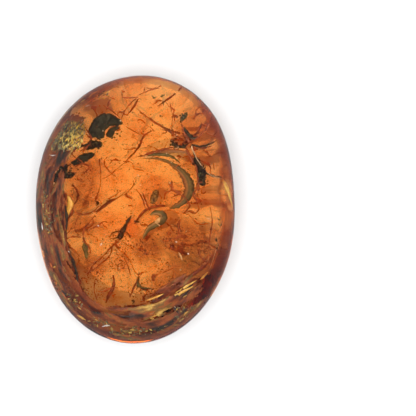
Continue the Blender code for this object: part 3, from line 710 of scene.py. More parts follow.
strokes = {  # px, py, height, half width
    "red": (
        ((136, 108, 9.6, 0.03), (152, 121, 9.5, 0.11), (168, 131, 9.4, 0.13), (184, 141, 9.4, 0.06)),
        ((121, 121, 9.4, 0.03), (125, 112, 9.5, 0.09), (131, 104, 9.6, 0.10), (138, 98, 9.7, 0.04)),
        ((96, 214, 9.0, 0.03), (106, 206, 9.0, 0.07), (118, 198, 9.0, 0.05), (128, 190, 9.0, 0.03)),
        ((84, 210, 9.7, 0.03), (78, 219, 9.8, 0.07), (76, 230, 9.8, 0.05), (82, 236, 9.7, 0.03)),
        ((122, 97.7, 10, 0.08), (131, 98.4, 10, 0.10), (139, 97.7, 10, 0.04)),
        ((111, 99.5, 9.5, 0.06), (109, 105, 9.5, 0.13), (106.8, 111, 9.5, 0.05)),
        ((170, 103, 9, 0.03), (171, 108, 9, 0.07), (172, 113.8, 9, 0.03)),
        ((126.4, 127.1, 9, 0.03), (133, 131, 9, 0.06), (140.7, 135.2, 9, 0.03)),
        ((117.5, 169.1, 9, 0.04), (110.4, 175.4, 9, 0.05), (103, 179, 9, 0.02)),
        ((181.8, 133.4, 9.3, 0.10), (187, 137.9, 9.3, 0.16), (191, 141, 9.3, 0.10)),
        ((181.8, 123.6, 9.5, 0.05), (183.6, 130.7, 9.5, 0.13), (187, 137.9, 9.5, 0.22),
         (190, 143, 9.5, 0.18)),
        ((185.4, 146.8, 9.2, 0.10), (190.7, 157.5, 9.2, 0.13), (196, 166.4, 9.2, 0.13),
         (197.9, 177.1, 9.2, 0.12), (198.8, 187.9, 9.2, 0.10), (197, 196, 9.2, 0.05)),
        ((212, 116, 9.6, 0.04), (208, 126, 9.6, 0.09), (202, 134, 9.6, 0.12), (195, 140, 9.6, 0.12)),
        ((135.4, 157.5, 8.9, 0.04), (144.3, 155.7, 8.9, 0.11), (155, 152.1, 8.9, 0.14),
         (169.3, 148.6, 8.9, 0.12), (178.2, 147.7, 8.9, 0.05)),
        ((75.4, 203.6, 10.2, 0.06), (72, 212.9, 10.2, 0.12), (68.4, 221.8, 10.2, 0.05)),
        ((75.5, 212, 9.8, 0.05), (84, 214.5, 9.8, 0.10), (93, 212, 9.8, 0.09), (100, 206, 9.8, 0.04)),
        ((55, 184.3, 10.8, 0.14), (62.1, 193.2, 10.8, 0.24), (65, 204.5, 10.8, 0.10)),
        ((96, 214.6, 9.2, 0.04), (88.9, 223.6, 9.2, 0.08), (84.5, 230.7, 9.2, 0.10),
         (84.5, 239.6, 9.2, 0.09), (89.8, 246.8, 9.2, 0.09), (91.6, 253, 9.2, 0.04)),
        ((67.5, 238.8, 9.9, 0.06), (74, 236.6, 9.9, 0.10), (81.8, 237, 9.9, 0.05)),
        ((113, 250.4, 9, 0.05), (108.6, 257.5, 9, 0.08), (101.4, 263.8, 9, 0.07), (93, 270.5, 9, 0.04)),
        ((124.6, 257.5, 8.5, 0.04), (129.1, 268.2, 8.5, 0.07), (130.9, 275.4, 8.5, 0.03)),
        ((139.8, 271.8, 8.6, 0.05), (135.4, 284.3, 8.6, 0.10), (130, 296.8, 8.6, 0.06)),
        ((120, 240, 8.8, 0.06), (113, 246, 8.8, 0.10), (107, 252, 8.8, 0.08), (99, 262, 8.8, 0.04)),
        ((210.4, 207.5, 8.8, 0.04), (212.1, 221.8, 8.8, 0.08), (210.4, 234.3, 8.8, 0.10),
         (208.6, 248.6, 8.8, 0.05)),
        ((197.9, 248.6, 8.5, 0.08), (201.4, 257.5, 8.5, 0.14), (207, 262, 8.5, 0.08)),
        ((166, 286, 10.4, 0.06), (178, 281, 10.5, 0.18), (192, 275, 10.6, 0.22), (206, 264, 10.7, 0.16),
         (213, 254, 10.7, 0.06)),
        ((150, 296, 10.4, 0.06), (163, 290, 10.4, 0.14), (176, 287, 10.5, 0.10), (188, 280, 10.6, 0.06)),
        ((143, 193, 8.5, 0.05), (147, 203, 8.5, 0.12), (151, 212, 8.5, 0.05)),
        ((136, 189, 8.5, 0.04), (142, 197, 8.5, 0.09), (146, 208, 8.5, 0.04)),
        ((88, 276, 9.6, 0.05), (93, 266, 9.6, 0.09), (100, 259, 9.6, 0.06), (110, 251, 9.6, 0.03)),
        ((98, 300, 9.8, 0.04), (95, 290, 9.8, 0.09), (96, 279, 9.8, 0.04)),
        ((116, 304, 9.8, 0.10), (124, 308, 9.9, 0.14), (134, 306, 9.9, 0.12), (146, 303, 9.9, 0.05)),
        ((86, 128, 10.4, 0.08), (92, 139, 10.3, 0.16), (88, 147, 10.3, 0.12), (80, 152, 10.4, 0.06)),
        ((76, 167, 10.2, 0.05), (84, 164, 10.0, 0.14), (90, 168, 9.8, 0.10), (82, 176, 10, 0.06)),
        ((206, 133, 9.4, 0.04), (213, 136, 9.5, 0.07), (217, 131, 9.6, 0.03)),
        ((171, 198, 8.7, 0.05), (181, 195, 8.7, 0.09), (190, 205, 8.7, 0.12), (184, 213, 8.7, 0.05)),
        ((139, 96, 10.0, 0.03), (150, 91, 10.2, 0.08), (160, 89, 10.3, 0.03)),
        ((120, 118, 9.7, 0.04), (111, 110, 9.8, 0.09), (104, 106, 9.9, 0.04)),
    ),
    "dark": (
        ((62, 192, 10.9, 0.05), (65.5, 205, 10.9, 0.16), (67.5, 222, 10.9, 0.20), (66.5, 236, 10.9, 0.12),
         (68.5, 247, 10.9, 0.20), (73, 258, 10.8, 0.14), (76.5, 268, 10.8, 0.22), (78.5, 280, 10.8, 0.10),
         (82, 292, 10.8, 0.05)),
        ((191.6, 145, 9.7, 0.12), (201.4, 146.8, 9.7, 0.10), (210.4, 144.1, 9.8, 0.08),
         (216.6, 140.5, 9.9, 0.04)),
        ((184, 128, 9.6, 0.10), (188, 134, 9.6, 0.20), (193, 139, 9.6, 0.22), (197, 137, 9.6, 0.08)),
        ((172, 141.4, 9.3, 0.14), (176, 146, 9.3, 0.28), (184, 147, 9.3, 0.22), (190, 142, 9.3, 0.08)),
        ((193, 152.5, 9.3, 0.06), (198, 162, 9.3, 0.16), (204, 172, 9.3, 0.10), (213, 176, 9.4, 0.12),
         (222, 177.5, 9.6, 0.05)),
        ((95.5, 200.5, 9.3, 0.10), (98.5, 203, 9.3, 0.22), (96.5, 205.5, 9.3, 0.06)),
        ((60, 158, 10.8, 0.08), (68, 153, 10.8, 0.16), (77, 149, 10.7, 0.12), (90, 144, 10.5, 0.08)),
        ((58, 176, 10.6, 0.05), (57, 184, 10.7, 0.16), (60, 192, 10.8, 0.14), (66, 196, 10.7, 0.05)),
        ((134, 220.7, 8.6, 0.06), (138, 221.8, 8.6, 0.09), (139.8, 221.4, 8.6, 0.03)),
        ((132, 300, 9.8, 0.10), (134.5, 301, 9.8, 0.16), (133, 303.5, 9.8, 0.06)),
        ((62, 290, 11.2, 0.14), (65, 292.5, 11.2, 0.22), (70, 295, 11.2, 0.08)),
        ((172, 305, 11.6, 0.05), (176, 309, 11.6, 0.16), (179, 313, 11.5, 0.05)),
        ((156, 328, 11.0, 0.05), (165, 326, 11.0, 0.16), (174, 323, 11.0, 0.06)),
    ),
    "pale": (
        ((191.8, 146, 9.9, 0.03), (192.4, 150, 9.9, 0.07), (195, 154.5, 9.9, 0.05), (196.8, 159, 9.9, 0.07),
         (201, 165, 9.9, 0.05), (206.5, 172.2, 9.9, 0.05), (213, 176.4, 10, 0.05), (221, 178.6, 10, 0.05),
         (227, 184, 10, 0.03)),
        # a painted highlight on the leaf tip
        ((160, 226, 8.6, 0.05), (157.5, 222.5, 8.6, 0.20), (160, 217, 8.6, 0.12)),
        ((178.8, 252, 8.8, 0.03), (181, 256, 8.8, 0.09), (182.5, 260, 8.8, 0.03)),
        ((217.8, 244, 10, 0.03), (214, 256, 10, 0.05), (210, 268, 10, 0.02)),
        ((168, 299.5, 11.9, 0.03), (172, 303, 11.9, 0.06), (176, 307, 11.9, 0.03)),
        ((143, 157, 8.7, 0.03), (147, 156.5, 8.7, 0.10), (151, 158, 8.7, 0.03)),
    ),
    "olive": (
        ((148, 156, 9.0, 0.06), (160, 154.5, 9.0, 0.20), (171, 156.5, 9.0, 0.16), (180, 162.5, 9.0, 0.06)),
        ((181.5, 114, 9.6, 0.10), (184, 117.5, 9.6, 0.26), (181.5, 121, 9.6, 0.08)),
        ((152.5, 96.5, 10.2, 0.05), (154, 98.2, 10.2, 0.13), (156.5, 98, 10.2, 0.03)),
        ((161, 97.8, 10.2, 0.05), (163, 96.4, 10.2, 0.16), (165, 95.2, 10.2, 0.04)),
        ((138.6, 276, 8.4, 0.05), (137.6, 283, 8.4, 0.18), (143, 287.4, 8.4, 0.14), (150, 287.6, 8.4, 0.05)),
    ),
    # painted glints
    "white": (
        ((101.5, 243.4, 14, 0.03), (102.3, 243.8, 14, 0.13), (103.2, 244.2, 14, 0.03)),
        ((176, 241, 14, 0.02), (176.6, 241.3, 14, 0.09), (177.3, 241.8, 14, 0.02)),
        ((188, 252.7, 14, 0.02), (188.6, 253.3, 14, 0.09), (189.2, 253.8, 14, 0.02)),
        ((69.5, 250.6, 14, 0.02), (70.1, 251.2, 14, 0.09), (70.8, 251.6, 14, 0.02)),
        ((99, 224.8, 14, 0.02), (99.6, 225.6, 14, 0.06), (100.2, 226.4, 14, 0.02)),
        ((106.2, 233.6, 14, 0.02), (106.8, 234.2, 14, 0.05), (107.4, 234.6, 14, 0.02)),
        ((42, 222.6, 12, 0.04), (42.8, 226, 12, 0.16), (43.2, 229.5, 12, 0.06)),
        ((86, 107.4, 12, 0.03), (88.2, 106.4, 12, 0.10), (90.6, 105.6, 12, 0.03)),
        ((102.6, 326, 12, 0.03), (106.4, 325, 12, 0.13), (110.4, 324.8, 12, 0.04)),
        ((201.6, 102.2, 12, 0.02), (202.4, 103.2, 12, 0.09), (203.2, 104.2, 12, 0.02)),
        ((50.5, 155, 12, 0.02), (53.5, 155.8, 12, 0.06), (57, 155.4, 12, 0.02)),
        ((206, 217.6, 14, 0.02), (208.4, 218.4, 14, 0.05), (210.4, 219, 14, 0.02)),
    ),
    # painted glints of internal films
    "gold": (
        ((160, 303.5, 12.4, 0.05), (170, 298.3, 12.6, 0.18), (179, 293.2, 12.6, 0.24),
         (186, 289.5, 12.6, 0.18), (193, 285.8, 12.5, 0.06)),
        ((150, 308.4, 12.2, 0.05), (157, 305.2, 12.3, 0.23), (166, 300.6, 12.4, 0.08)),
        ((144, 312.5, 12.0, 0.04), (151, 309.5, 12.1, 0.15), (158, 307.2, 12.2, 0.04)),
        ((165, 306, 12.0, 0.04), (175, 301, 12.1, 0.11), (187, 294.5, 12.1, 0.04)),
        ((176, 292, 12.6, 0.04), (187, 285.5, 12.7, 0.16), (197, 279.5, 12.6, 0.05)),
        ((129, 331, 10.6, 0.05), (132.4, 329.6, 10.6, 0.27), (136.5, 328.4, 10.6, 0.05)),
        ((184, 314, 10.6, 0.04), (186, 312.4, 10.6, 0.16), (188.4, 310.8, 10.6, 0.04)),
        ((150, 328.6, 10.6, 0.03), (158, 326.8, 10.6, 0.07), (168, 325.2, 10.6, 0.03)),
        ((57, 266.5, 10.6, 0.03), (59.5, 264, 10.6, 0.10), (61, 261.5, 10.6, 0.03)),
        ((60.5, 241.5, 11.6, 0.04), (61.2, 242.4, 11.6, 0.12), (61.8, 243.6, 11.6, 0.04)),
        ((43, 203.5, 10.6, 0.04), (44, 205, 10.6, 0.12), (45.4, 206, 10.6, 0.04)),
        ((147, 299.5, 12.3, 0.04), (155, 297, 12.4, 0.15), (164, 293, 12.5, 0.04)),
        ((89, 98.6, 12.2, 0.05), (93, 94.3, 12.3, 0.20), (99, 91, 12.3, 0.05)),
        ((104, 95.5, 12.6, 0.05), (108, 92.8, 12.6, 0.19), (112, 91, 12.5, 0.05)),
        ((80, 104, 12.0, 0.04), (83, 101.3, 12.0, 0.15), (86, 100, 12.0, 0.04)),
        ((222.5, 179.5, 12.2, 0.09), (226, 186, 12.2, 0.40), (229.2, 194, 12.0, 0.46),
         (231.4, 202, 11.7, 0.26), (232.6, 208, 11.5, 0.09)),
        ((69, 196, 11.0, 0.09), (71.5, 203, 11.0, 0.42), (70, 210, 11.0, 0.30), (68.5, 216, 11, 0.09)),
        ((77.5, 315, 10.6, 0.08), (81.5, 317, 10.6, 0.27), (86, 319.4, 10.6, 0.08)),
        ((54, 267, 10.4, 0.04), (57.5, 265.5, 10.4, 0.14), (61, 262.5, 10.4, 0.04)),
        ((218.5, 216, 10.6, 0.04), (220, 222, 10.6, 0.14), (219, 228, 10.6, 0.04)),
        ((200, 279.5, 12.0, 0.04), (204, 276, 12.0, 0.18), (208, 271.5, 11.9, 0.04)),
    ),
}


def strokePiece(kind):
    slotName, roughness, dark, light, flatness, cover, rough = strokeLook[kind]
    stops = ((strokeGrain["dark"], dark), (strokeGrain["light"], light))
    material = plainMaterial(kind + "Strokes", roughness, strokeGrain["perMm"], stops)
    how = {"flatness": flatness, "rough": rough, "cover": cover, "lean": True}
    sweptPiece(kind + "_strokes", strokes[kind], material, slotName, **how)


for kind in strokes:
    strokePiece(kind)
print("strokes made:", sum(len(runs) for runs in strokes.values()))


# flow films: thin broken sheets, as the resin left them where it ran

filmLook = {
    # name: (slot, cover under the dome, from and to in mm outside the window's edge, from and to in degrees
    #        round the outline, noise per mm along and across, share left open, seed, colour stops by tone)
    "rim_film": ("leaf", 0.45, 0.1, 9.0, (110, 318), (0.18, 1.1), 0.27, 4.0, (
        (0.0, (0.022, 0.012, 0.005)), (0.22, (0.14, 0.030, 0.006)), (0.42, (0.33, 0.064, 0.010)),
        (0.56, (0.48, 0.120, 0.016)), (0.68, (0.20, 0.110, 0.020)), (0.84, (0.52, 0.22, 0.035)),
        (1.0, (0.85, 0.55, 0.12)),
    )),
    "deep_film": ("stalk", 1.5, -0.1, 8.0, (114, 314), (0.10, 0.5), 0.10, 9.0, (
        (0.0, (0.14, 0.018, 0.004)), (0.5, (0.34, 0.060, 0.008)), (1.0, (0.52, 0.15, 0.020)),
    )),
}
filmForm = {
    "around": 620,
    "rings": 44,
    "inner": 0.60,  # share of the outline where the rings start
    "outer": 0.985,
    "ripple": 0.25,  # mm
    "ripplePerMm": 0.5,
    "wound": 14,  # radius in mm on which the pattern is wound
    "streaks": (0.03, 0.16),  # noise per step round and outwards
    "tone": (0.45, 0.7),  # middle and spread
    "streakNoise": (0.7, 2.0, 6),  # roughness, lacunarity and octaves
    "holeNoise": (0.75, 2.0, 5),
    "roughness": 0.6,
    "edgeFade": (0.5, 1.4),  # how much is left open at the window's edge, and over how many mm
    "endFade": (1.2, 10),  # how much is left open at the film's ends, and over how many degrees
}
sheetThickness = 0.05  # of the films and wisps


def sheetMesh(name, form):
    holder = newObject(name, meshFrom(form, name))
    thicken = holder.modifiers.new("thickness", "SOLIDIFY")
    thicken.thickness = sheetThickness * mm
    thicken.offset = -1
    return modifiedMesh(holder)


def filmPiece(name):
    slotName, cover, near, far, (start, end), (along, across), gap, seed, stops = filmLook[name]
    around, rings, inner, outer = (filmForm[key] for key in ("around", "rings", "inner", "outer"))
    toneMiddle, toneSpread = filmForm["tone"]
    roundPace, outPace = filmForm["streaks"]
    edgeLoss, edgeReach = filmForm["edgeFade"]
    endLoss, endReach = filmForm["endFade"]
    form = bmesh.new()
    toneLayer = form.verts.layers.float.new("tone")
    grid = {}

    def spotAt(turn, step):  # distance from the middle, and place
        reach = outlineRadius(turn) * (inner + (outer - inner) * step / rings)
        return reach, reach * math.cos(turn) - middle[0], reach * math.sin(turn) - middle[1]

    def corner(i, j):
        i %= around
        if (i, j) not in grid:
            x, y = spotAt(math.tau * i / around, j)[1:]
            pace = filmForm["ripplePerMm"]
            ripple = filmForm["ripple"] * noise.noise(Vector((x * pace, y * pace, seed)))
            vertex = form.verts.new(underDome(x, y, domeHeight(x, y) - cover - ripple) * mm)
            streak = noise.fractal(Vector((i * roundPace, j * outPace, seed + 7)), *filmForm["streakNoise"])
            vertex[toneLayer] = toneMiddle + toneSpread * streak
            grid[i, j] = vertex
        return grid[i, j]

    for i in range(around):
        turn = math.tau * (i + 0.5) / around
        inwards = min(math.degrees(turn) - start, end - math.degrees(turn)) / endReach
        endOpen = limited(1 - inwards) * endLoss
        for j in range(rings):
            reach, x, y = spotAt(turn, j + 0.5)
            away = windowDistance(x, y)
            if not near < away < far:
                continue
            ring = Vector((math.cos(turn), math.sin(turn), 0)) * filmForm["wound"] * along
            pattern = noise.fractal(ring + Vector((seed, seed, reach * across)), *filmForm["holeNoise"])
            edgeOpen = edgeLoss * max(0, 1 - (away - near) / edgeReach)
            if pattern > gap - 0.5 + edgeOpen + endOpen:
                form.faces.new((corner(i, j), corner(i, j + 1), corner(i + 1, j + 1), corner(i + 1, j)))
    mesh = sheetMesh(name, form)
    newPiece(name, mesh, toneMaterial(name, filmForm["roughness"], "tone", stops))
    print("film", name, len(mesh.polygons))


for name in filmLook:
    filmPiece(name)


wispLook = {
    # name: (height, cell mm, curls per mm, line width in noise, patchiness, seed, dark and light tone)
    "wisps": (8.6, 0.10, 0.20, 0.020, 0.02, 21.0, (0.16, 0.026, 0.010), (0.50, 0.13, 0.040)),
    "deep_wisps": (4.6, 0.11, 0.26, 0.024, 0.0, 33.0, (0.20, 0.034, 0.012), (0.55, 0.16, 0.050)),
}
wispForm = {
    "across": (-10.5, 11.5),  # mm
    "along": (-14.5, 17.5),
    "pastEdge": 0.4,  # mm outside the window's edge
    "cover": 0.6,  # least depth under the dome
    "stray": 1.2,  # mm up and down
    "strayPerMm": 0.15,
    "patchPerMm": 0.35,
    "widthPerMm": 0.9,
    "skew": (0.5, -0.3),
    "lineNoise": (1.5, 2.1, 3),  # roughness, lacunarity and octaves
    "material": (0.6, 1.2),  # roughness, noise per mm
}


def wispPiece(name):  # red-brown threads and torn skins that wind through the clear middle
    height, cell, curls, width, patchy, seed, dark, light = wispLook[name]
    form = bmesh.new()
    grid = {}

    def corner(i, j):
        if (i, j) not in grid:
            x, y = i * cell, j * cell
            pace = wispForm["strayPerMm"]
            z = height + wispForm["stray"] * noise.noise(Vector((x * pace, y * pace, seed + 3)))
            z = min(z, domeHeight(x, y) - wispForm["cover"])
            grid[i, j] = form.verts.new(underDome(x, y, z) * mm)
        return grid[i, j]

    skewX, skewY = wispForm["skew"]
    columns, rows = (range(*(round(end / cell) for end in wispForm[key])) for key in ("across", "along"))
    for i in columns:
        for j in rows:
            x, y = (i + 0.5) * cell, (j + 0.5) * cell
            if noise.noise(Vector((x, y, seed)) * wispForm["patchPerMm"]) < patchy:
                continue
            place = Vector((x + skewX * y, y + skewY * x, seed * 5)) * curls
            widest = width * (1 + 2 * noise.noise(Vector((y, x, seed)) * wispForm["widthPerMm"]))
            if abs(noise.fractal(place, *wispForm["lineNoise"])) > widest:
                continue
            if windowDistance(x, y) < wispForm["pastEdge"]:
                form.faces.new((corner(i, j), corner(i + 1, j), corner(i + 1, j + 1), corner(i, j + 1)))
    mesh = sheetMesh(name, form)
    skin = plainMaterial(name, *wispForm["material"], ((0.35, dark), (0.65, light)))
    newPiece(name, mesh, skin)
    print("wisps", name, len(mesh.polygons))


for name in wispLook:
    wispPiece(name)


# scattered crumbs, spangles, specks and bubbles, by Geometry Nodes; the spangles' bright gold is a painted
# glint

scatterLook = {
    # name: (slot, places (px, py, half widths in mm), depth under the dome, spread in height, count,
    #        smallest and largest size in mm, flatness, widest share, turn and its spread, seed, material)
    # gold and bright crumbs are spangles whose bright gold is a painted glint
    "gold_glint_crumbs": (
        "leaf", ((69, 136, 2.2, 2.0), (60, 143, 1.3, 1.4), (79, 131, 1.1, 1.3)), 0.42, 0.12, 430,
        0.05, 0.22, 0.22, 0.5, 1.35, 0.55, 3, "crumbs",
    ),
    "bright_glint_crumbs": (
        "leaf", ((79, 139, 0.9, 1.6), (72, 141, 1.5, 1.1)), 0.30, 0.06, 64,
        0.07, 0.26, 0.2, 0.45, 1.25, 0.5, 5, "gilt",
    ),
    "dark_crumbs": (
        "soil",
        ((98, 144, 0.9, 0.8), (116, 137, 0.7, 0.6), (182, 118, 0.7, 0.8), (203, 176, 0.7, 1.4),
         (63, 172, 1.5, 1.5), (46, 206, 0.6, 3.2), (70, 300, 1.6, 1.2), (140, 328, 4.5, 0.9),
         (178, 144, 1.2, 0.8)),
        2.6, 1.2, 420, 0.03, 0.12, 0.6, 1.0, 0.0, 3.1, 7, "dirt",
    ),
    "edge_crumbs": (
        "leaf",
        ((44, 210, 0.6, 3.8), (70, 300, 1.4, 1.2), (76, 304, 1.0, 0.8), (95, 322, 2.6, 1.0),
         (134, 332, 5.0, 0.9), (190, 314, 2.4, 1.4), (219, 236, 0.4, 2.6), (98, 92, 2.2, 1.0),
         (52, 222, 0.9, 2.0)),
        0.38, 0.1, 320, 0.02, 0.20, 0.22, 0.55, 0.0, 3.1, 11, "crumbs",
    ),
    "specks": (
        "soil", ((140, 195, 10.0, 13.5),), 4.4, 3.5, 560,
        0.022, 0.075, 0.7, 1.0, 0.0, 3.1, 13, "specks",
    ),
    "red_flecks": (
        "stalk",
        ((182, 240, 2.6, 1.8), (147, 247, 1.6, 1.2), (163, 266, 1.0, 1.0), (206, 247, 0.8, 0.9),
         (82, 172, 1.8, 1.4), (120, 250, 2.0, 3.0), (92, 285, 2.0, 2.4), (150, 290, 3.0, 1.6)),
        3.6, 1.6, 820, 0.015, 0.08, 0.5, 1.0, 0.0, 3.1, 17, "flecks",
    ),
    # bubbles: pale balls whose colour is a painted reflection of the gas
    "bubbles": (
        "amber", ((140, 200, 9.5, 13.0),), 3.4, 2.6, 34,
        0.04, 0.08, 1.0, 1.0, 0.0, 3.1, 19, "gas",
    ),
}

scatterTones = {
    # material: (roughness, stops by tone)
    # dark debris tones, and bright gold tones that are painted glints of spangles
    "crumbs": (0.4, (
        (0.0, (0.98, 0.68, 0.16)), (0.16, (0.75, 0.46, 0.07)), (0.34, (0.22, 0.19, 0.06)),
        (0.58, (0.05, 0.055, 0.022)), (0.80, (0.42, 0.34, 0.16)), (1.0, (0.02, 0.02, 0.012)),
    )),
    # all painted glint of the spangles
    "gilt": (0.3, ((0.0, (1.0, 0.80, 0.24)), (0.6, (0.98, 0.62, 0.08)), (1.0, (0.60, 0.34, 0.04)))),
    "dirt": (0.8, ((0.0, (0.010, 0.008, 0.006)), (0.7, (0.05, 0.035, 0.02)), (1.0, (0.16, 0.14, 0.07)))),
    "specks": (0.6, ((0.0, (0.02, 0.006, 0.004)), (0.5, (0.10, 0.020, 0.008)), (1.0, (0.26, 0.06, 0.02)))),
    "flecks": (0.6, ((0.0, (0.12, 0.018, 0.008)), (0.7, (0.32, 0.065, 0.022)), (1.0, (0.46, 0.15, 0.06)))),
    # painted reflection: bubbles drawn pale and opaque
    "gas": (0.25, ((0.0, (0.95, 0.88, 0.78)), (1.0, (0.80, 0.62, 0.45)))),
}

lumpForm = {"subdivisions": 2, "dents": 1.3, "tilt": 0.6}  # the tilt is in radians

groundForm = {
    "cell": 0.2,  # least width of a face in mm
    "cells": 6,  # most faces in the lesser half width
    "widest": 0.95,  # share of the outline that the faces stay within
}


def groundMesh(name, places, depth):  # small faces under the dome, which the crumbs are spread on
    form = bmesh.new()
    for px, py, halfX, halfY in places:
        x0, y0 = fromPhoto(px, py)
        pace = max(groundForm["cell"], min(halfX, halfY) / groundForm["cells"])
        across, along = max(2, round(halfX / pace)), max(2, round(halfY / pace))
        for i in range(-across, across):
            for j in range(-along, along):
                if math.hypot((i + 0.5) / across, (j + 0.5) / along) > 1:
                    continue
                corners = []
                for di, dj in ((0, 0), (1, 0), (1, 1), (0, 1)):
                    x = x0 + (i + di) / across * halfX
                    y = y0 + (j + dj) / along * halfY
                    if outlineShare(x, y) > groundForm["widest"]:
                        break
                    corners.append(underDome(x, y, domeHeight(x, y) - depth))
                if len(corners) == 4:
                    form.faces.new([form.verts.new(corner * mm) for corner in corners])
    return meshFrom(form, name)


def randomOf(tree, seed, low, high, kind="FLOAT"):
    first, out = (2, 1) if kind == "FLOAT" else (0, 0)  # the node has other sockets for each kind
    inputs = {first: low, first + 1: high, 8: seed}
    return addNode(tree, "FunctionNodeRandomValue", {"data_type": kind}, inputs).outputs[out]


def combineOf(tree, x, y, z):
    return addNode(tree, "ShaderNodeCombineXYZ", {}, {0: x, 1: y, 2: z}).outputs[0]


def geometryOf(tree, kind, **inputs):
    return addNode(tree, "GeometryNode" + kind, {}, inputs).outputs[0]


def scatterTree():  # spreads small uneven lumps over the faces of the ground
    tree = bpy.data.node_groups.new("scatter", "GeometryNodeTree")
    face = tree.interface
    face.new_socket("Ground", in_out="INPUT", socket_type="NodeSocketGeometry")
    for label in ("Per Area", "Spread", "Smallest", "Largest", "Flatness", "Widest", "Turn", "Turn Spread"):
        face.new_socket(label, in_out="INPUT", socket_type="NodeSocketFloat")
    face.new_socket("Seed", in_out="INPUT", socket_type="NodeSocketInt")
    face.new_socket("Material", in_out="INPUT", socket_type="NodeSocketMaterial")
    face.new_socket("Pieces", in_out="OUTPUT", socket_type="NodeSocketGeometry")
    given = tree.nodes.new("NodeGroupInput").outputs
    seed = given["Seed"]

    points = geometryOf(
        tree, "DistributePointsOnFaces", Mesh=given["Ground"], Density=given["Per Area"], Seed=seed
    )
    lift = randomOf(tree, seed, mathOf(tree, "MULTIPLY", given["Spread"], -1), given["Spread"])
    placed = geometryOf(tree, "SetPosition", Geometry=points, Offset=combineOf(tree, 0, 0, lift))

    ball = geometryOf(tree, "MeshIcoSphere", Radius=1.0, Subdivisions=lumpForm["subdivisions"])
    place = addNode(tree, "GeometryNodeInputPosition", {}, {}).outputs[0]
    pitted = {"Scale": lumpForm["dents"], "Detail": 2, "Vector": place}
    dents = addNode(tree, "ShaderNodeTexNoise", {}, pitted).outputs["Fac"]
    swell = vectorOf(tree, "MULTIPLY", place, dents)
    lump = geometryOf(tree, "SetPosition", Geometry=ball, Offset=swell)

    size = randomOf(tree, mathOf(tree, "ADD", seed, 1), given["Smallest"], given["Largest"])
    thin = mathOf(tree, "MULTIPLY", size, given["Flatness"])
    wide = mathOf(tree, "MULTIPLY", size, given["Widest"])
    narrow = randomOf(tree, mathOf(tree, "ADD", seed, 2), thin, wide)
    spin = randomOf(tree, mathOf(tree, "ADD", seed, 3), (-1, -1, -1), (1, 1, 1), "FLOAT_VECTOR")
    reach = combineOf(tree, lumpForm["tilt"], lumpForm["tilt"], given["Turn Spread"])
    turn = vectorOf(tree, "MULTIPLY_ADD", spin, reach, combineOf(tree, 0, 0, given["Turn"]))
    rotation = addNode(tree, "FunctionNodeEulerToRotation", {}, {0: turn}).outputs[0]
    scale = combineOf(tree, size, narrow, thin)
    lumps = geometryOf(tree, "InstanceOnPoints", Points=placed, Instance=lump, Rotation=rotation, Scale=scale)

    tone = randomOf(tree, mathOf(tree, "ADD", seed, 4), 0.0, 1.0)
    toned = addNode(
        tree,
        "GeometryNodeStoreNamedAttribute",
        {"data_type": "FLOAT", "domain": "INSTANCE"},
        {"Name": "tone", "Geometry": lumps, "Value": tone},
    ).outputs[0]
    whole = geometryOf(tree, "RealizeInstances", Geometry=toned)
    dressed = geometryOf(tree, "SetMaterial", Geometry=whole, Material=given["Material"])
    feed(tree, tree.nodes.new("NodeGroupOutput").inputs["Pieces"], dressed)
    return tree


def scatterAll():
    tree = scatterTree()
    sockets = {item.name: item.identifier for item in tree.interface.items_tree if item.in_out == "INPUT"}
    skins = {name: toneMaterial(name, look[0], "tone", look[1]) for name, look in scatterTones.items()}
    for name, values in scatterLook.items():
        slotName, places, depth, spread, count, small, large, *form, seed, skin = values
        flatness, widest, turn, turnSpread = form
        ground = groundMesh(name + "Ground", places, depth)
        area = sum(face.area for face in ground.polygons)
        holder = newObject(name + "Ground", ground)
        scatter = holder.modifiers.new("scatter", "NODES")
        scatter.node_group = tree
        given = {
            "Per Area": count / area, "Spread": spread * mm, "Smallest": small * mm, "Largest": large * mm,
            "Flatness": flatness, "Widest": widest, "Turn": turn, "Turn Spread": turnSpread,
            "Seed": seed, "Material": skins[skin],
        }
        for label, value in given.items():
            scatter[sockets[label]] = value
        mesh = modifiedMesh(holder)
        mesh.shade_smooth()
        newPiece(name, mesh, skins[skin])
        print("scattered", name, len(mesh.polygons))


scatterAll()


# floor, light and camera

studio = {
    "floor": (0.60, 0.60, 0.60),
    "floorHalf": 1.5,
    "floorDrop": 0.02,  # mm under the stone
    "cameraHeight": 0.60,
    "sky": ((0.0, 0.30), (0.2, 0.24), (0.5, 0.14), (0.8, 0.08), (1.0, 0.05)),  # brightness by height
    "skySides": (0.7, 1.3),  # front and back
    "lights": (  # place, size and power
        ((-0.01, -0.06, 0.68), 0.94, 14.0),
        ((0.46, 0.20, 0.24), 0.30, 0.6),
        ((-0.46, 0.20, 0.24), 0.30, 0.5),
    ),
    "bounces": {"max": 32, "transmission": 32, "glossy": 12, "diffuse": 6},
}


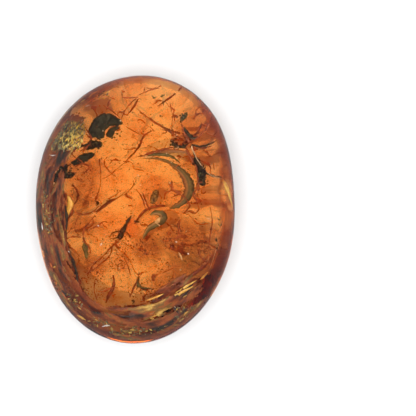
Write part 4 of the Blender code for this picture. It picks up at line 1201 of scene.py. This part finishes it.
def addFloor():
    form = bmesh.new()
    bmesh.ops.create_grid(form, x_segments=2, y_segments=2, size=studio["floorHalf"])
    floor = newObject("floor", meshFrom(form, "floor", False))
    floor.location.z = -studio["floorDrop"] * mm
    look = {"Roughness": 0.85, "Specular IOR Level": 0.2, "Base Color": (*studio["floor"], 1)}
    floor.data.materials.append(newMaterial("paper", look)[0])
    floor.visible_glossy = False  # a white sheet mirrored in the flanks would veil the margin


def addLights():
    for number, (place, size, power) in enumerate(studio["lights"]):
        lamp = bpy.data.lights.new(f"softbox{number}", "AREA")
        lamp.shape = "DISK"
        lamp.size = size
        lamp.energy = power
        holder = newObject(lamp.name, lamp)
        holder.location = place
        holder.rotation_euler = Vector(place).to_track_quat("Z", "Y").to_euler()
        holder.visible_glossy = False  # no hard reflection on the dome


def addSky():
    world = bpy.data.worlds.new("studio")
    bpy.context.scene.world = world
    world.use_nodes = True
    tree = world.node_tree
    towards = addNode(tree, "ShaderNodeTexCoord", {}, {}).outputs["Generated"]
    parts = addNode(tree, "ShaderNodeSeparateXYZ", {}, {0: towards}).outputs
    stops = [(place, (value,) * 3) for place, value in studio["sky"]]
    level = rampOf(tree, parts["Z"], stops, "B_SPLINE")
    side = mapRange(tree, parts["Y"], -1, 1, *studio["skySides"], "LINEAR")
    back = tree.nodes["Background"]
    back.inputs["Color"].default_value = (1, 1, 1, 1)
    feed(tree, back.inputs["Strength"], mathOf(tree, "MULTIPLY", level, side))


def addCamera():
    camera = bpy.data.cameras.new("camera")
    holder = newObject("camera", camera)
    distance = studio["cameraHeight"] - stone["girdle"] * mm
    camera.sensor_width = 36
    camera.lens = camera.sensor_width * distance / (photo["width"] / photo["pxPerMm"] * mm)
    x, y = fromPhoto(photo["width"] / 2, photo["width"] / 2)
    holder.location = (x * mm, y * mm, studio["cameraHeight"])
    bpy.context.scene.camera = holder


addFloor()
addLights()
addSky()
addCamera()
view = bpy.context.scene
view.view_settings.view_transform = "Standard"
for kind, count in studio["bounces"].items():
    setattr(view.cycles, kind + "_bounces", count)
print("studio ready")
